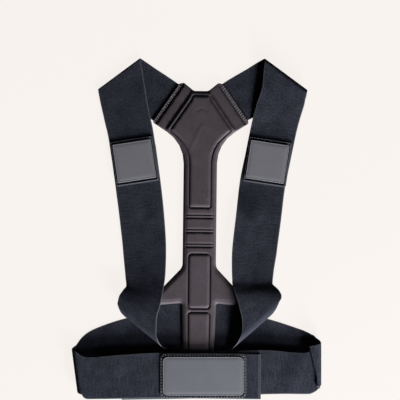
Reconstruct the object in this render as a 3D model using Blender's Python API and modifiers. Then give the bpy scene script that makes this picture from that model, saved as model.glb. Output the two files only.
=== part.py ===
"""A posture corrector laid on its back: a padded back plate, two shoulder straps and a waist belt.

Metres, +Z up. The surface that it lies on is z = 0. While it is modelled, x = 0 is the plate's
middle line and y = 0 is where the straps run under the plate. A parent empty then puts the middle
of the whole outline at x = y = 0. In the tables, "out" is away from the middle line, so that one
table column reads the same on the left and on the right side.
"""

from collections import namedtuple
from math import atan2, ceil, cos, hypot, pi, radians, sin, tan

import bmesh
import bpy
from mathutils import Vector

# The elastic and the layers that lie on one another
STRAP_WIDTH = 0.060
STRAP_THICKNESS = 0.0016
GAP = 0.0003

# The back plate
PLATE_THICKNESS = 0.0050
PANEL_HEIGHT = 0.0014
PLATE_EDGE = 0.0016
NECK_WIDTH = 0.0444
NECK_FOOT_WIDTH = 0.0395
HIP_SPAN = 0.113
HIP_HEIGHT = 0.015
HIP_TOP = 0.0425
FLARE_RISE = 0.036
WING_REACH = 0.0462
WING_RISE = 0.2985
WING_TURN = radians(34.5)
WING_DIP = 0.0095
WING_CREST = 0.0013
WING_CREST_BACK = 0.0065
UNDERARM_SLOPE = 0.65
UNDERARM_ROUND = 0.050
PLATE_BELOW = 0.072
NECK_PANEL_WIDTH = 0.029
PANEL_END = 0.158
MID_PANEL_TOP = 0.0965
MID_PANEL_END = 0.0237
LOWER_PANEL_TOP = 0.0189
RIB_TOP = 0.1463
RIB_PITCH = 0.0192
RIB_WIDTH = 0.0034
RIB_LENGTH = 0.0346
RIBS = 3
PANEL_INSET = 0.0256
PANEL_MARGIN = 0.0060
CORNER = 0.0030
PLATE_LEAN = radians(0.65)
PLATE_SHIFT = 0.0024

# The straps
STRAP_TUCK = 0.018
SHOULDER_RUN = 0.0745
STRAP_DROP = 0.342
CLOSE_FOLD = (STRAP_THICKNESS + GAP) / 2

# The label tabs
LABEL_WIDTH = 0.0585
LABEL_LENGTH = 0.0615
LABEL_DROP = 0.1160
LABEL_BOW = -0.152
LABEL_TURN = radians(8.6)
LABEL_RIM = 0.0040
LABEL_THICKNESS = 0.0014
PATCH_THICKNESS = 0.0008

# The belt
BELT_START = 0.0005
BELT_DROP = 0.0655
LEFT_BELT_REACH = 0.1668
RIGHT_BELT_REACH = 0.1604

# The closing panel
CLOSURE_LENGTH = 0.1141
CLOSURE_START = -0.0532
CLOSURE_RIM = 0.0040
CLOSURE_CORNER = 0.0045

# How finely the soft surfaces are stepped
SECTION_STEP = 0.0085
FOLD_STEPS = 8
WIDTH_STEPS = 4

LAYER = STRAP_THICKNESS + GAP
FLOOR_LAYER = STRAP_THICKNESS / 2
SECOND_LAYER = FLOOR_LAYER + LAYER

Finish = namedtuple("Finish", "colour roughness metallic")
ELASTIC = Finish((0.012, 0.015, 0.024), 0.85, 0.0)
PAD = Finish((0.085, 0.073, 0.070), 0.70, 0.0)
TAB = Finish((0.008, 0.009, 0.012), 0.75, 0.0)
PATCH = Finish((0.090, 0.094, 0.100), 0.60, 0.0)

# A section across a strap: its middle (out, y), the turn of the line from the outer to the inner
# edge, that line's length, and the heights of the outer and the inner edge.
Section = namedtuple("Section", "out y turn span z_outer z_inner")

# How one side differs from the other. run_turn is the way from the wing to the shoulder fold.
Side = namedtuple(
    "Side",
    "sign run run_turn waist_out shoulder_radius waist_radius waist_turn waist_slides"
    " upper_rows lower_rows",
)

# Rows between the shoulder fold (down 0) and the waist fold (down 1). bow is how far the middle
# lies outward of the straight line between them, in strap widths. span is in strap widths. The
# heights are shares of the rise of the fold that the row comes from.
Row = namedtuple("Row", "down bow turn span outer inner")

LEFT_UPPER = [
    Row(0.062, -0.024, 24.7, 1.064, 1, 1),
    Row(0.160, -0.078, 12.5, 1.005, 1, 1),
    Row(0.236, -0.133, 9.0, 1.000, 1, 1),
    Row(0.405, -0.180, 8.0, 0.990, 1, 1),
]
RIGHT_UPPER = [
    Row(0.077, 0.007, 19.4, 1.000, 0.55, 0.90),
    Row(0.146, -0.058, 15.3, 1.010, 0.22, 0.48),
    Row(0.195, -0.095, 11.0, 1.010, 0.03, 0.10),
    Row(0.228, -0.112, 9.0, 1.010, 0, 0),
    Row(0.405, -0.182, 8.5, 1.000, 0, 0),
]
LEFT_LOWER = [
    Row(0.288, -0.156, 8.5, 1.000, 0, 0),
    Row(0.440, -0.191, 8.0, 1.000, 0, 0),
    Row(0.561, -0.207, 6.0, 0.985, 0.03, 0.06),
    Row(0.686, -0.198, 2.0, 0.950, 0.10, 0.22),
    Row(0.794, -0.158, 0.0, 0.870, 0.26, 0.50),
    Row(0.835, -0.122, -8.5, 0.820, 0.40, 0.70),
    Row(0.872, -0.033, -23.0, 0.885, 0.64, 0.90),
    Row(0.908, 0.064, -30.5, 0.960, 0.88, 1),
]
RIGHT_LOWER = [
    Row(0.294, -0.138, 9.0, 1.000, 0, 0),
    Row(0.428, -0.191, 8.9, 1.005, 0, 0),
    Row(0.559, -0.182, 7.0, 1.000, 0.10, 0.40),
    Row(0.684, -0.175, 5.0, 0.985, 0.24, 0.56),
    Row(0.766, -0.153, 2.0, 0.920, 0.38, 0.62),
    Row(0.820, -0.118, 2.0, 0.885, 0.42, 0.62),
    Row(0.837, -0.016, 0.0, 1.003, 0.50, 0.66),
    Row(0.860, 0.060, -6.0, 1.000, 0.82, 0.95),
    Row(0.884, 0.113, -15.0, 0.975, 0.94, 1),
    Row(0.908, 0.150, -28.0, 0.980, 0.98, 1),
]

LEFT = Side(
    -1, 0.969, 31.2, 0.0760, CLOSE_FOLD, 0.0067, -39.5, (0.27, 0.20), LEFT_UPPER, LEFT_LOWER
)
RIGHT = Side(
    1, 1.032, 28.4, 0.0683, 0.0042, 0.0075, -41.0, (0.38, 0.275), RIGHT_UPPER, RIGHT_LOWER
)
WAIST_FOLD_Y = -0.0062

# Rows of the belt. out is in shares of the side's reach, drop in shares of the belt's drop below
# the crossing, lean is how far the upper edge leans outward, in degrees, and span is in strap widths.
BeltRow = namedtuple("BeltRow", "out drop lean span")

LEFT_BACK = [
    BeltRow(0.528, 0.271, 18.7, 1.00),
    BeltRow(0.798, 0.504, 17.0, 1.00),
    BeltRow(0.906, 0.660, 11.0, 0.98),
]
LEFT_END = BeltRow(1.000, 0.898, 7.5, 0.95)
LEFT_END_SLIDES = (-0.07, -0.07)
LEFT_FRONT = [
    BeltRow(0.894, 1.047, 0, 0.92),
    BeltRow(0.626, 1.016, 0, 0.97),
    BeltRow(0.322, 0.992, 0, 1.00),
    BeltRow(-0.480, 1.018, 0, 0.99),
]
RIGHT_BACK = [
    BeltRow(0.486, 0.280, 17.7, 1.00),
    BeltRow(0.790, 0.518, 17.0, 1.00),
    BeltRow(0.895, 0.620, 12.0, 0.98),
]
RIGHT_END = BeltRow(1.000, 0.765, 0, 0.93)
RIGHT_END_SLIDES = (-0.107, -0.04)
RIGHT_PLEAT = [
    BeltRow(0.901, 0.805, -12.3, 0.92),
    BeltRow(0.943, 0.860, -10.4, 0.87),
]
RIGHT_FRONT = [
    BeltRow(0.880, 0.955, -6.0, 0.91),
    BeltRow(0.755, 0.945, 0, 0.92),
    BeltRow(0.580, 0.927, 0, 0.97),
    BeltRow(0.002, 0.996, 0, 1.00),
    BeltRow(-0.651, 1.027, 0, 1.00),
]


def clear_scene():
    for item in list(bpy.data.objects):
        bpy.data.objects.remove(item)


def collection(name, hidden=False):
    made = bpy.data.collections.new(name)
    made.hide_render = hidden
    bpy.context.scene.collection.children.link(made)
    return made


def material(name, finish):
    made = bpy.data.materials.new(name)
    made.use_nodes = True
    shader = made.node_tree.nodes["Principled BSDF"]
    shader.inputs["Base Color"].default_value = (*finish.colour, 1)
    shader.inputs["Roughness"].default_value = finish.roughness
    shader.inputs["Metallic"].default_value = finish.metallic
    return made


def add(name, mesh, finish, parts, parent):
    """A named object of the corrector, in its own material."""
    made = bpy.data.objects.new(name, mesh)
    mesh.materials.append(material(name, finish))
    mesh.shade_smooth()
    mesh.set_sharp_from_angle(angle=radians(35))
    made.parent = parent
    parts.objects.link(made)
    return made


# Soft bands

def slopes(values, places):
    """Slopes of a curve through the values that never overshoots them."""
    steps = [(b - a) / (t - s) for a, b, s, t in zip(values, values[1:], places, places[1:])]
    inner = [2 * a * b / (a + b) if a * b > 0 else 0 for a, b in zip(steps, steps[1:])]
    return [steps[0], *inner, steps[-1]]


def smoothed(sections):
    """More sections between the given ones, on smooth curves through them."""
    places = [0]
    for a, b in zip(sections, sections[1:]):
        places.append(places[-1] + hypot(b.out - a.out, b.y - a.y, b.z_inner - a.z_inner))
    columns = [slopes(column, places) for column in zip(*sections)]
    found = []
    for i, (a, b) in enumerate(zip(sections, sections[1:])):
        length = places[i + 1] - places[i]
        count = max(1, ceil(length / SECTION_STEP))
        for k in range(count):
            t = k / count
            rise, ease = t * t * (3 - 2 * t), t * (1 - t)
            found.append(
                Section(
                    *(
                        p + (q - p) * rise + length * ease * ((1 - t) * m[i] - t * m[i + 1])
                        for p, q, m in zip(a, b, columns)
                    )
                )
            )
    return [*found, sections[-1]]


def fold(crest, outward, slides, start, end):
    """Sections round a half turn. The crest's middle lies on the fold's outermost line, outward
    is 1 or -1 for the side of the line that the fold points to, slides are how far the band moves
    along the line in each quarter turn, in strap widths, and start and end are the heights that
    it joins."""
    turn = radians(crest.turn)
    across = (outward * sin(turn), outward * cos(turn))
    along = (-cos(turn), sin(turn))
    radius = abs(end - start) / 2
    found = []
    for k in range(FOLD_STEPS + 1):
        share = 2 * k / FOLD_STEPS - 1
        moved = slides[share > 0] * share * STRAP_WIDTH
        back = radius * (cos(share * pi / 2) - 1)
        z = (start + end) / 2 + (end - start) / 2 * sin(share * pi / 2)
        found.append(
            crest._replace(
                out=crest.out + across[0] * back + along[0] * moved,
                y=crest.y + across[1] * back + along[1] * moved,
                z_outer=z,
                z_inner=z,
            )
        )
    return found


def band_mesh(name, sign, sections):
    """An open surface through the sections, with out to the left (-1) or to the right (1)."""
    grid = bmesh.new()
    rows = []
    for s in sections:
        turn = radians(s.turn)
        middle = Vector((sign * s.out, s.y, (s.z_outer + s.z_inner) / 2))
        half = Vector((-sign * cos(turn), sin(turn), 0)) * s.span / 2
        half.z = (s.z_inner - s.z_outer) / 2
        steps = [2 * k / WIDTH_STEPS - 1 for k in range(WIDTH_STEPS + 1)]
        rows.append([grid.verts.new(middle + half * k) for k in steps])
    for near, far in zip(rows, rows[1:]):
        for k in range(WIDTH_STEPS):
            grid.faces.new((near[k], near[k + 1], far[k + 1], far[k]))
    mesh = bpy.data.meshes.new(name)
    grid.to_mesh(mesh)
    grid.free()
    return mesh


def band(name, sign, sections, parts, parent):
    made = add(name, band_mesh(name, sign, sections), ELASTIC, parts, parent)
    wall = made.modifiers.new("Wall", "SOLIDIFY")
    wall.thickness = STRAP_THICKNESS
    wall.offset = 0
    wall.use_even_offset = True
    return made


# Where the straps turn

def wing_edge():
    """The middle of a wing's outer edge, and the directions out of it and along it."""
    middle = Vector((WING_REACH, WING_RISE))
    outward = Vector((cos(WING_TURN), sin(WING_TURN)))
    return middle, outward, Vector((-outward.y, outward.x))


def shoulder(side):
    middle, _, _ = wing_edge()
    turn = radians(side.run_turn)
    return middle + side.run * SHOULDER_RUN * Vector((cos(turn), sin(turn)))


def waist(side):
    return Vector((side.waist_out, shoulder(side).y - STRAP_DROP))


def path_rows(side, rows, base, rise):
    """Sections of a strap between its shoulder fold and its waist fold."""
    top, bottom = shoulder(side), waist(side)
    found = []
    for row in rows:
        middle = top.lerp(bottom, row.down)
        found.append(
            Section(
                middle.x + row.bow * STRAP_WIDTH,
                middle.y,
                row.turn,
                row.span * STRAP_WIDTH,
                base + row.outer * rise,
                base + row.inner * rise,
            )
        )
    return found


def upper_sections(side):
    """From under the wing, over the shoulder fold and down to the label."""
    edge, outward, _ = wing_edge()
    top = shoulder(side)
    run = atan2(top.y - edge.y, top.x - edge.x)
    lowered = 2 * side.shoulder_radius
    first = edge - outward * STRAP_TUCK
    across = 90 - (run * 180 / pi)
    start = Section(first.x, first.y, across, 0.96 * STRAP_WIDTH, FLOOR_LAYER, FLOOR_LAYER)
    seat = start._replace(out=edge.x, y=edge.y, span=0.98 * STRAP_WIDTH)
    middle = edge.lerp(top, 0.55)
    back = start._replace(out=middle.x, y=middle.y, turn=across - 11, span=1.05 * STRAP_WIDTH)
    crest = start._replace(out=top.x, y=top.y, turn=36.5, span=1.155 * STRAP_WIDTH)
    slides = 2 * [-0.65 * side.shoulder_radius / STRAP_WIDTH]
    turned = fold(crest, 1, slides, FLOOR_LAYER, FLOOR_LAYER + lowered)
    if side.shoulder_radius > CLOSE_FOLD:
        rows = path_rows(side, side.upper_rows, SECOND_LAYER, lowered - LAYER)
    else:
        rows = path_rows(side, side.upper_rows, FLOOR_LAYER, LAYER)
    return smoothed([start, seat, back, turned[0]]) + turned[1:-1] + smoothed([turned[-1], *rows])


def lower_sections(side):
    """From under the label, round the waist fold and in under the plate."""
    bottom = waist(side)
    rise = 2 * side.waist_radius + LAYER
    rows = path_rows(side, side.lower_rows, FLOOR_LAYER, rise)
    crest = Section(bottom.x, bottom.y, side.waist_turn, 1.10 * STRAP_WIDTH, 0, 0)
    turned = fold(crest, -1, side.waist_slides, FLOOR_LAYER + rise, SECOND_LAYER)
    y = WAIST_FOLD_Y + 0.15 * STRAP_WIDTH
    end = Section(GAP, y, -90, 1.06 * STRAP_WIDTH, SECOND_LAYER, SECOND_LAYER)
    under = end._replace(out=0.32 * STRAP_WIDTH, y=y - 0.01 * STRAP_WIDTH, turn=-83)
    inside = turned[-1]._replace(
        out=0.60 * STRAP_WIDTH,
        y=y - 0.03 * STRAP_WIDTH,
        turn=-62,
        span=1.12 * STRAP_WIDTH,
    )
    return smoothed([*rows, turned[0]]) + turned[1:-1] + smoothed([turned[-1], inside, under, end])


def belt_rows(reach, rows, level):
    return [
        Section(
            row.out * reach,
            -row.drop * BELT_DROP,
            90 + row.lean,
            row.span * STRAP_WIDTH,
            level,
            level,
        )
        for row in rows
    ]


def belt_sections(reach, back, end, slides, front, level, pleat=()):
    """From under the plate, round the side turn and back as a front half at this level. Each row
    of a pleat is a close fold that takes the band one layer down, inward and outward by turns."""
    height = level + len(pleat) * LAYER
    crest = belt_rows(reach, [end], FLOOR_LAYER)[0]
    turned = fold(crest, 1, slides, FLOOR_LAYER, height)
    start = crest._replace(out=GAP, y=BELT_START, turn=90, span=1.04 * STRAP_WIDTH)
    found = smoothed([start, *belt_rows(reach, back, FLOOR_LAYER), turned[0]]) + turned[1:-1]
    last = turned[-1]
    for k, crest in enumerate(belt_rows(reach, pleat, height)):
        turned = fold(crest, (-1, 1)[k % 2], (0, 0), height, height - LAYER)
        found += smoothed([last, turned[0]]) + turned[1:-1]
        last = turned[-1]
        height -= LAYER
    return found + smoothed([last, *belt_rows(reach, front, level)])


# The back plate

Corner = namedtuple("Corner", "out y radius")


def rounded(corners, steps=5):
    """The outline's points, with an arc of each corner's radius in its place."""
    found = []
    points = [Vector((c.out, c.y)) for c in corners]
    for i, corner in enumerate(corners):
        here = points[i]
        before = (points[i - 1] - here).normalized()
        after = (points[(i + 1) % len(points)] - here).normalized()
        half = before.angle(after) / 2
        if corner.radius <= 0 or half > radians(89):
            found.append(here)
            continue
        centre = here + (before + after).normalized() * corner.radius / sin(half)
        first = here + before * corner.radius / tan(half) - centre
        last = here + after * corner.radius / tan(half) - centre
        sweep = first.angle_signed(last)
        count = max(2, ceil(abs(sweep) / radians(90) * steps))
        start = atan2(first.y, first.x)
        for k in range(count + 1):
            angle = start - sweep * k / count
            found.append(centre + corner.radius * Vector((cos(angle), sin(angle))))
    return found


def mirrored(corners):
    """A right half from top to bottom, closed by its mirror image."""
    return corners + [c._replace(out=-c.out) for c in reversed(corners)]


def slab_mesh(name, points, bottom, top, edge=0.0):
    """An upright slab on an outline, with its top edge eased by a bevel of this width."""
    shape = bmesh.new()
    face = shape.faces.new([shape.verts.new((p.x, p.y, bottom)) for p in points])
    face.normal_update()
    if face.normal.z > 0:
        face.normal_flip()
    lifted = bmesh.ops.extrude_face_region(shape, geom=[face], use_keep_orig=True)
    raised = [v for v in lifted["geom"] if isinstance(v, bmesh.types.BMVert)]
    bmesh.ops.translate(shape, verts=raised, vec=(0, 0, top - bottom))
    bmesh.ops.recalc_face_normals(shape, faces=shape.faces)
    if edge:
        rim = [e for e in shape.edges if all(v.co.z > (top + bottom) / 2 for v in e.verts)]
        bmesh.ops.bevel(
            shape, geom=rim, offset=edge, segments=2, profile=0.5, affect="EDGES",
            clamp_overlap=True,
        )
    mesh = bpy.data.meshes.new(name)
    shape.to_mesh(mesh)
    shape.free()
    return mesh


def wing_point(inward, along):
    """A point this far inward of the wing's outer edge and along it from its middle."""
    middle, outward, edge = wing_edge()
    return middle - outward * inward + edge * along


def at(point, radius):
    return Corner(point.x, point.y, radius)


def plate_corners():
    tip = wing_point(0, 0.49 * STRAP_WIDTH)
    low = wing_point(0, -0.55 * STRAP_WIDTH)
    neck = NECK_WIDTH / 2
    foot = NECK_FOOT_WIDTH / 2
    underarm = low.y - UNDERARM_SLOPE * (low.x - neck)
    return mirrored(
        [
            Corner(0.43 * neck, tip.y - WING_DIP, 2 * CORNER),
            Corner(tip.x - WING_CREST_BACK, tip.y + WING_CREST, CORNER),
            at(tip, 0.7 * CORNER),
            at(low, 1.2 * CORNER),
            Corner(neck, underarm, UNDERARM_ROUND),
            Corner(neck, HIP_TOP + FLARE_RISE, 4 * CORNER),
            Corner(HIP_SPAN / 2, HIP_TOP, 1.6 * CORNER),
            Corner(HIP_SPAN / 2, HIP_TOP - HIP_HEIGHT, 1.3 * CORNER),
            Corner(1.05 * neck, HIP_TOP - 0.8 * HIP_HEIGHT, 0.8 * CORNER),
            Corner(foot, -PLATE_BELOW, 2.3 * CORNER),
        ]
    )


def panels():
    """The raised panels' outlines: one between the wings and down the neck, and two below."""
    half = NECK_PANEL_WIDTH / 2
    shoulder_in = wing_point(PANEL_INSET, 0.36 * STRAP_WIDTH)
    arm_in = wing_point(PANEL_INSET, -0.47 * STRAP_WIDTH)
    tip = wing_point(0, 0.49 * STRAP_WIDTH)
    top = [
        Corner(0.75 * half, tip.y - WING_DIP - PANEL_MARGIN, CORNER),
        at(shoulder_in, CORNER),
        at(arm_in, CORNER),
        Corner(half, arm_in.y - 0.85 * (arm_in.x - half), 0.87 * UNDERARM_ROUND),
        Corner(half, PANEL_END, CORNER),
    ]
    middle = [Corner(half, MID_PANEL_TOP, CORNER), Corner(half, MID_PANEL_END, CORNER)]
    lower = [
        Corner(half, LOWER_PANEL_TOP, CORNER),
        Corner(0.93 * half, PANEL_MARGIN - PLATE_BELOW, CORNER),
    ]
    return [mirrored(top), mirrored(middle), mirrored(lower)]


def ribs():
    """Short raised ribs across the neck."""
    half = RIB_LENGTH / 2
    found = []
    for k in range(RIBS):
        y = RIB_TOP - k * RIB_PITCH
        found.append(
            mirrored(
                [
                    Corner(half, y + RIB_WIDTH / 2, RIB_WIDTH * 0.4),
                    Corner(half, y - RIB_WIDTH / 2, RIB_WIDTH * 0.4),
                ]
            )
        )
    return found


# A raised strip along the wing's outer edge: how far in its two long sides lie, in shares of the
# panel's inset, and how far along the wing it reaches up and down, in strap widths.
Strip = namedtuple("Strip", "outer inner outer_up inner_up down")
WING_STRIPS = [Strip(0.26, 0.77, 0.45, 0.38, -0.49), Strip(0.84, 0.945, 0.42, 0.38, -0.49)]


def wing_strips():
    """Raised strips along each wing's outer edge: a broad one and a narrow one."""
    found = []
    for sign in (1, -1):
        for strip in WING_STRIPS:
            outer, inner = strip.outer * PANEL_INSET, strip.inner * PANEL_INSET
            ends = [
                wing_point(outer, strip.outer_up * STRAP_WIDTH),
                wing_point(outer, strip.down * STRAP_WIDTH),
                wing_point(inner, strip.down * STRAP_WIDTH),
                wing_point(inner, strip.inner_up * STRAP_WIDTH),
            ]
            corners = [Corner(sign * p.x, p.y, 0.4 * CORNER) for p in ends]
            found.append(corners[::sign])
    return found


def plate(parts, cutters, parent):
    """The pad, with its panels joined on. Its bottom clears one layer at the wings and two where
    the straps run under it, so it leans a little."""
    base = PLATE_THICKNESS - PANEL_HEIGHT
    made = add(
        "back_plate", slab_mesh("back_plate", rounded(plate_corners()), 0, base, PLATE_EDGE),
        PAD, parts, parent,
    )
    for i, corners in enumerate(panels() + ribs() + wing_strips()):
        mesh = slab_mesh("panel", rounded(corners, 4), base / 2, PLATE_THICKNESS, PANEL_HEIGHT / 2)
        panel = bpy.data.objects.new(f"panel_{i}", mesh)
        panel.display_type = "WIRE"
        panel.hide_render = True
        panel.parent = made
        cutters.objects.link(panel)
        join = made.modifiers.new(f"Panel {i}", "BOOLEAN")
        join.operation = "UNION"
        join.solver = "EXACT"
        join.object = panel
    high = Vector((0, wing_point(0, STRAP_WIDTH / 2).y, 2 * GAP + STRAP_THICKNESS))
    low = Vector((0, STRAP_WIDTH / 2, GAP + STRAP_THICKNESS + LAYER))
    slope = (low.z - high.z) / (high.y - low.y)
    made.location = (-PLATE_SHIFT, 0, low.z + slope * low.y)
    made.rotation_euler = (-atan2(slope, 1), 0, -PLATE_LEAN)
    return made, low.z + slope * (low.y + PLATE_BELOW) + PLATE_THICKNESS


# Tabs and patches

def slab(name, width, length, thickness, corner, finish, place, turn, parts, parent):
    """A flat piece with rounded corners, its underside on the place given."""
    w, l = width / 2, length / 2
    corners = [Corner(w, l, corner), Corner(w, -l, corner), Corner(-w, -l, corner)]
    corners.append(Corner(-w, l, corner))
    made = add(
        name, slab_mesh(name, rounded(corners, 4), 0, thickness, 0.25 * thickness),
        finish, parts, parent,
    )
    made.location = place
    made.rotation_euler.z = turn
    return made


def label(side, name, parts, parent):
    """The bound tab over the joint of the two straps, and the bare patch on it."""
    top, bottom = shoulder(side), waist(side)
    down = LABEL_DROP / STRAP_DROP
    middle = top.lerp(bottom, down)
    x = side.sign * (middle.x + LABEL_BOW * STRAP_WIDTH)
    y = middle.y
    turn = -side.sign * LABEL_TURN
    level = SECOND_LAYER + STRAP_THICKNESS / 2 + GAP
    slab(
        f"{name}_label_tab", LABEL_WIDTH, LABEL_LENGTH, LABEL_THICKNESS, CORNER,
        TAB, (x, y, level), turn, parts, parent,
    )
    slab(
        f"{name}_label", LABEL_WIDTH - 2 * LABEL_RIM, LABEL_LENGTH - 2 * LABEL_RIM,
        PATCH_THICKNESS, CORNER / 2, PATCH,
        (x, y, level + LABEL_THICKNESS + GAP), turn, parts, parent,
    )


def closure(level, parts, parent):
    """The closing panel on the left front half, and the bare patch on it."""
    x = CLOSURE_START + CLOSURE_LENGTH / 2
    y = -BELT_DROP
    z = level + STRAP_THICKNESS / 2 + GAP
    slab(
        "closure_tab", CLOSURE_LENGTH, 0.99 * STRAP_WIDTH, LABEL_THICKNESS, CLOSURE_CORNER,
        TAB, (x, y, z), 0, parts, parent,
    )
    slab(
        "belt_patch", CLOSURE_LENGTH - 1.6 * CLOSURE_RIM, 0.99 * STRAP_WIDTH - 2 * CLOSURE_RIM,
        PATCH_THICKNESS, 1.1 * CLOSURE_CORNER, PATCH,
        (x, y, z + LABEL_THICKNESS + GAP), 0, parts, parent,
    )


def build():
    clear_scene()
    parts = collection("Posture corrector")
    cutters = collection("Cutters", hidden=True)
    middle = bpy.data.objects.new("middle", None)
    parts.objects.link(middle)
    _, plate_top = plate(parts, cutters, middle)
    bands = {}
    for name, side in (("left", LEFT), ("right", RIGHT)):
        bands[f"{name}_upper_strap"] = (side.sign, upper_sections(side))
        bands[f"{name}_lower_strap"] = (side.sign, lower_sections(side))
        label(side, name, parts, middle)
    right_level = plate_top + GAP + STRAP_THICKNESS / 2
    left_level = right_level + LAYER
    bands["left_belt"] = (
        -1,
        belt_sections(
            LEFT_BELT_REACH, LEFT_BACK, LEFT_END, LEFT_END_SLIDES, LEFT_FRONT, left_level
        ),
    )
    bands["right_belt"] = (
        1,
        belt_sections(
            RIGHT_BELT_REACH, RIGHT_BACK, RIGHT_END, RIGHT_END_SLIDES, RIGHT_FRONT,
            right_level, RIGHT_PLEAT,
        ),
    )
    for name, (sign, sections) in bands.items():
        band(name, sign, sections, parts, middle)
    closure(left_level, parts, middle)
    bpy.context.view_layer.update()
    points = [o.matrix_world @ v.co for o in parts.objects if o.type == "MESH" for v in o.data.vertices]
    for axis in (0, 1):
        places = [p[axis] for p in points]
        middle.location[axis] = -(min(places) + max(places)) / 2


build()
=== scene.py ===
# %% [markdown]
# A posture corrector lies on a pale table, seen from straight above. It has a taupe back plate of
# pressed foam, two shoulder straps and a waist belt of wide navy-black elastic, two small label
# tabs and a closing panel in front. The solids behind it are fixed: this lesson dresses each one in
# a finer surface that stays inside it, and then lights the whole like a studio picture.

# %% The fixed frame
from collections import namedtuple
from math import atan2, ceil, cos, hypot, pi, radians, sin, tan

import bmesh
import bpy
import numpy as np
from mathutils import Euler, Matrix, Vector, geometry, noise


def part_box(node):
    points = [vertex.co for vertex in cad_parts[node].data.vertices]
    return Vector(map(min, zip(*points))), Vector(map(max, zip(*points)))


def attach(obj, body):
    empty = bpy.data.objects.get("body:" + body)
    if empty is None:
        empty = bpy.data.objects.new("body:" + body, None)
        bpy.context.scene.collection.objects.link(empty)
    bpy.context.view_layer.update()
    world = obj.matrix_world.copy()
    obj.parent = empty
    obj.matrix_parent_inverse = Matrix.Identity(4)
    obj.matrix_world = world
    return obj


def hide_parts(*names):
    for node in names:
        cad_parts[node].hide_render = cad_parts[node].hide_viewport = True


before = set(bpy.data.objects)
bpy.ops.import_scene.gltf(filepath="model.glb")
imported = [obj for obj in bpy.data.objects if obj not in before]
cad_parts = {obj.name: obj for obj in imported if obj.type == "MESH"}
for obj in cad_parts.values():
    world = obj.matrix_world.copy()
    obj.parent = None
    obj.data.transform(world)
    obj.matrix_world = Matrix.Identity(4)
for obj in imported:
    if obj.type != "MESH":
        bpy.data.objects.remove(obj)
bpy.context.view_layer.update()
print("solids:", ", ".join(sorted(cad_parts)))

# %% [markdown]
# The driving sizes are those of the solids, in metres. The elastic is 60 mm wide, and most other
# places are shares of it, so the fine surfaces land where the solids are.

# %% The sizes of the solids
STRAP_WIDTH = 0.060
STRAP_THICKNESS = 0.0016
GAP = 0.0003
NECK_WIDTH = 0.0444
NECK_FOOT_WIDTH = 0.0395
HIP_SPAN = 0.113
HIP_HEIGHT = 0.015
HIP_TOP = 0.0425
FLARE_RISE = 0.036
WING_REACH = 0.0462
WING_RISE = 0.2985
WING_TURN = radians(34.5)
WING_DIP = 0.0095
WING_CREST = 0.0013
WING_CREST_BACK = 0.0065
UNDERARM_SLOPE = 0.65
UNDERARM_ROUND = 0.050
PLATE_BELOW = 0.072
NECK_PANEL_WIDTH = 0.029
PANEL_END = 0.158
MID_PANEL_TOP = 0.0965
MID_PANEL_END = 0.0237
LOWER_PANEL_TOP = 0.0189
RIB_TOP = 0.1463
RIB_PITCH = 0.0192
RIB_LENGTH = 0.0346
RIBS = 3
PANEL_INSET = 0.0256
PANEL_MARGIN = 0.0060
CORNER = 0.0030
PLATE_LEAN = radians(0.65)
PLATE_SHIFT = 0.0024
STRAP_TUCK = 0.018
SHOULDER_RUN = 0.0745
STRAP_DROP = 0.342
LABEL_WIDTH = 0.0585
LABEL_LENGTH = 0.0615
LABEL_TURN = radians(8.6)
LABEL_RIM = 0.0040
BELT_START = 0.0005
BELT_DROP = 0.0655
LEFT_BELT_REACH = 0.1668
RIGHT_BELT_REACH = 0.1604
CLOSURE_LENGTH = 0.1141
CLOSURE_START = -0.0532
CLOSURE_RIM = 0.0040
CLOSURE_CORNER = 0.0045
WAIST_FOLD_Y = -0.0062
TINY = 1e-12
LAYER = STRAP_THICKNESS + GAP
FLOOR_LAYER = STRAP_THICKNESS / 2
SECOND_LAYER = FLOOR_LAYER + LAYER
CLOSE_FOLD = LAYER / 2
PLEAT_LAYER = 0.0013


def middle_of(node):
    low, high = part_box(node)
    return (Vector(low) + Vector(high)) / 2


panel_middle = middle_of("closure_tab")
SHIFT = Vector((panel_middle.x - CLOSURE_START - CLOSURE_LENGTH / 2, panel_middle.y + BELT_DROP))
print("middle of the plate line in the frame:", [round(c, 5) for c in SHIFT])

# %% [markdown]
# Shader maths reads best as plain expressions. This class wraps one socket, and each operator on it
# adds a Math node. A second class holds a material's tree and makes any other node from its type,
# its settings and what its sockets take.

# %% Sockets that can be added and multiplied
class Socket:
    def __init__(self, shader, link):
        self.shader, self.link = shader, link

    def math(self, operation, *values):
        return self.shader.node("ShaderNodeMath", {"operation": operation}, dict(enumerate(values)))

    def __add__(self, other):
        return self.math("ADD", self, other)

    def __sub__(self, other):
        return self.math("SUBTRACT", self, other)

    def __rsub__(self, other):
        return self.math("SUBTRACT", other, self)

    def __mul__(self, other):
        return self.math("MULTIPLY", self, other)

    def __truediv__(self, other):
        return self.math("DIVIDE", self, other)

    __radd__, __rmul__ = __add__, __mul__

    def sine(self):
        return self.math("SINE", self)

    def least(self, other):
        return self.math("MINIMUM", self, other)

    def clamped(self):
        return self.math("MINIMUM", self.math("MAXIMUM", self, 0.0), 1.0)


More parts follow.
